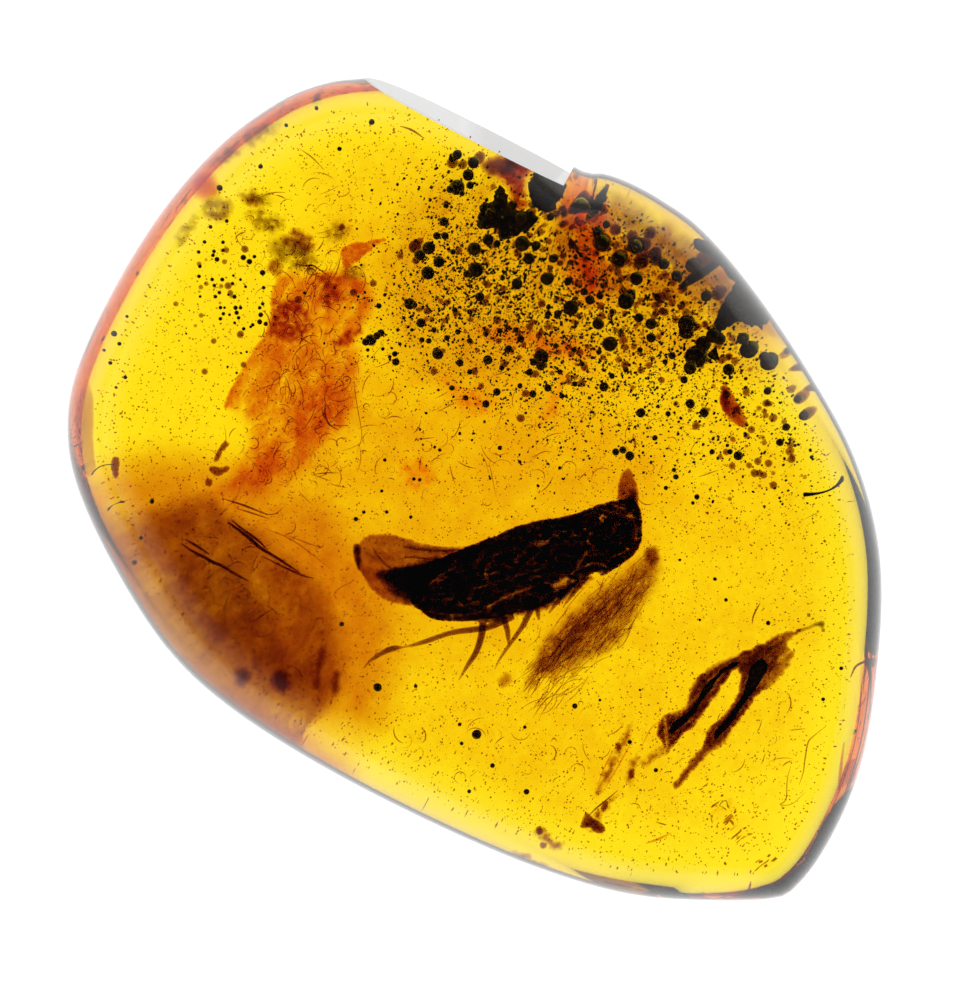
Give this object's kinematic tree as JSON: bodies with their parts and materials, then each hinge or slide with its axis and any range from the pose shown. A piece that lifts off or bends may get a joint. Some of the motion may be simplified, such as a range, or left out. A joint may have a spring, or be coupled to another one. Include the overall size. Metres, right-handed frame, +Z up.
{
  "type": "insect in amber",
  "caption": "Polished clear amber pebble, resting on a ground flat, with a sealed planthopper, plant scraps, charred bark and air bubbles inside.",
  "frame": {"origin": "middle of the bounding box in X and Y, on the surface that the pebble rests on", "axes": "+Z up out of the face that is looked into, through the thinnest way of the pebble; +X towards the insect's head, +Y towards its back"},
  "size_m": [0.0162, 0.0164, 0.007],
  "materials": {
    "amber": "polished clear golden-yellow amber, seen through",
    "chitin": "near-black to reddish-brown insect cuticle, wing tips amber-brown",
    "splinter_wood": "dark red-brown decayed plant tissue",
    "membrane": "thin brown torn membrane with frayed fibres",
    "leaf": "brown curled scrap of leaf",
    "char": "black crumbly charred bark",
    "bubble": "air bubble, dark by total reflection",
    "fissure": "orange to brown film on an old healed crack in the amber"
  },
  "bodies": {
    "root": {"amber_upper": "amber", "amber_lower": "amber", "planthopper": "chitin", "plant_splinter": "splinter_wood", "torn_membrane": "membrane", "leaf_flake": "leaf", "bark_char": "char", "edge_bark_char": "char"}
  },
  "joints": []
}
